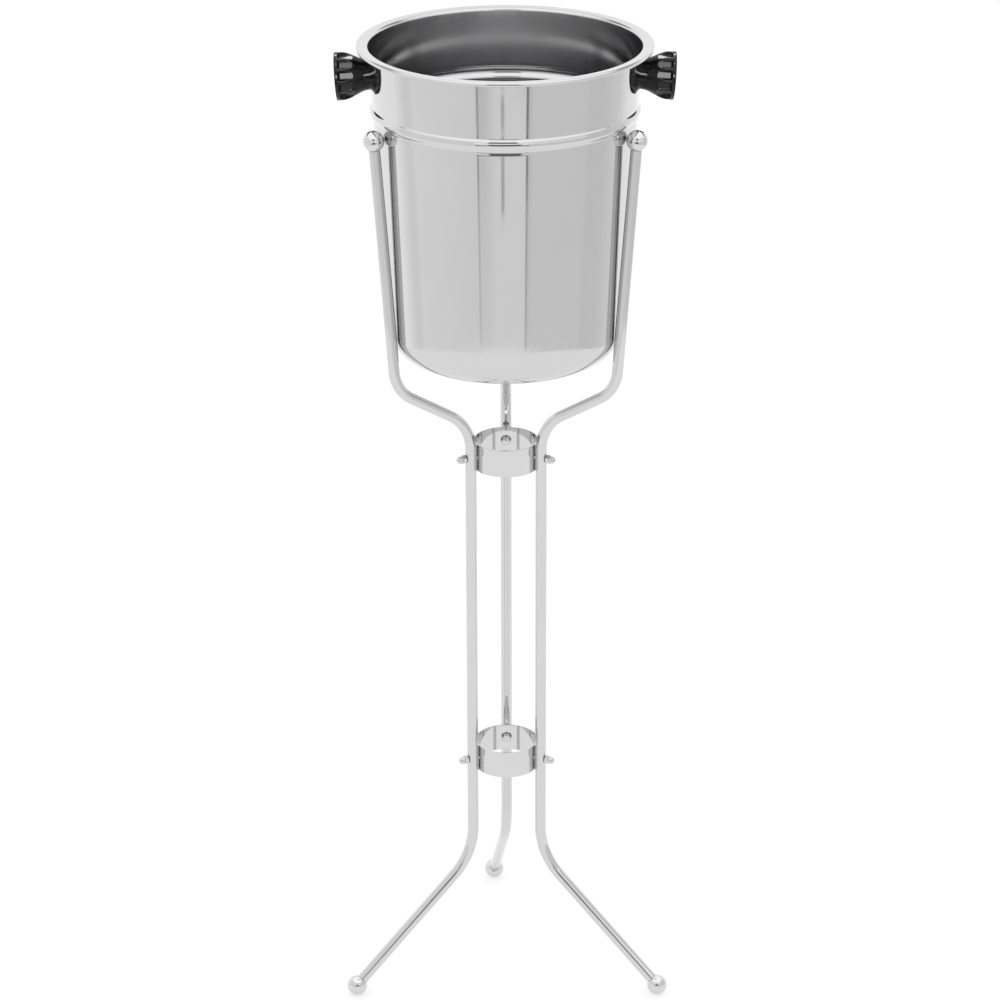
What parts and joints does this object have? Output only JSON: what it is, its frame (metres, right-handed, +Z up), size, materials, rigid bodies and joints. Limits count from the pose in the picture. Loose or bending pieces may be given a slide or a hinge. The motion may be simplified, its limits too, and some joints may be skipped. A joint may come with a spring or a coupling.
{
  "type": "champagne bucket stand",
  "caption": "Polished metal wine bucket with rolled rim and side knobs, wedged in a floor stand of bent chrome tubes with ball ends, held together by band rings.",
  "frame": {"origin": "on the stand's centre line at floor level, under the middle of the bucket", "axes": "+Z up the stand's centre line; the bucket's knobs lie along X; -Y is the front, between the two front legs, and the single back leg is on +Y"},
  "size_m": [0.2802, 0.2736, 0.8413],
  "materials": {
    "polished_stainless": "mirror-polished drawn stainless steel with faint spinning and drawing marks",
    "chromed_tube": "bright chrome plate on bent steel tube",
    "chromed_ball": "bright chrome plate on a turned ball",
    "chromed_band": "bright chrome plate on rolled flat strip",
    "plated_fastener": "bright nickel plate with light tool marks",
    "stainless_screw": "turned stainless steel",
    "black_phenolic": "glossy moulded black phenolic",
    "brass_insert": "turned brass",
    "sealing_washer": "matte black sealing rubber"
  },
  "bodies": {
    "stand": {"leg_front_left": "chromed_tube", "finial_front_left": "chromed_ball", "foot_front_left": "chromed_ball", "leg_front_right": "chromed_tube", "finial_front_right": "chromed_ball", "foot_front_right": "chromed_ball", "leg_back": "chromed_tube", "finial_back": "chromed_ball", "foot_back": "chromed_ball", "ring_upper": "chromed_band", "ring_lower": "chromed_band", "ring_screw_upper_front_left": "plated_fastener", "ring_nut_upper_front_left": "plated_fastener", "ring_screw_upper_front_right": "plated_fastener", "ring_nut_upper_front_right": "plated_fastener", "ring_screw_upper_back": "plated_fastener", "ring_nut_upper_back": "plated_fastener", "ring_screw_lower_front_left": "plated_fastener", "ring_nut_lower_front_left": "plated_fastener", "ring_screw_lower_front_right": "plated_fastener", "ring_nut_lower_front_right": "plated_fastener", "ring_screw_lower_back": "plated_fastener", "ring_nut_lower_back": "plated_fastener"},
    "bucket": {"bucket_shell": "polished_stainless", "knob_left": "black_phenolic", "knob_insert_left": "brass_insert", "knob_washer_left": "sealing_washer", "knob_screw_left": "stainless_screw", "knob_right": "black_phenolic", "knob_insert_right": "brass_insert", "knob_washer_right": "sealing_washer", "knob_screw_right": "stainless_screw"}
  },
  "joints": [
    {"name": "bucket_lift", "type": "slide", "parent": "stand", "child": "bucket", "axis": [0, 0, 1], "range_m": [0, 0.25]}
  ]
}
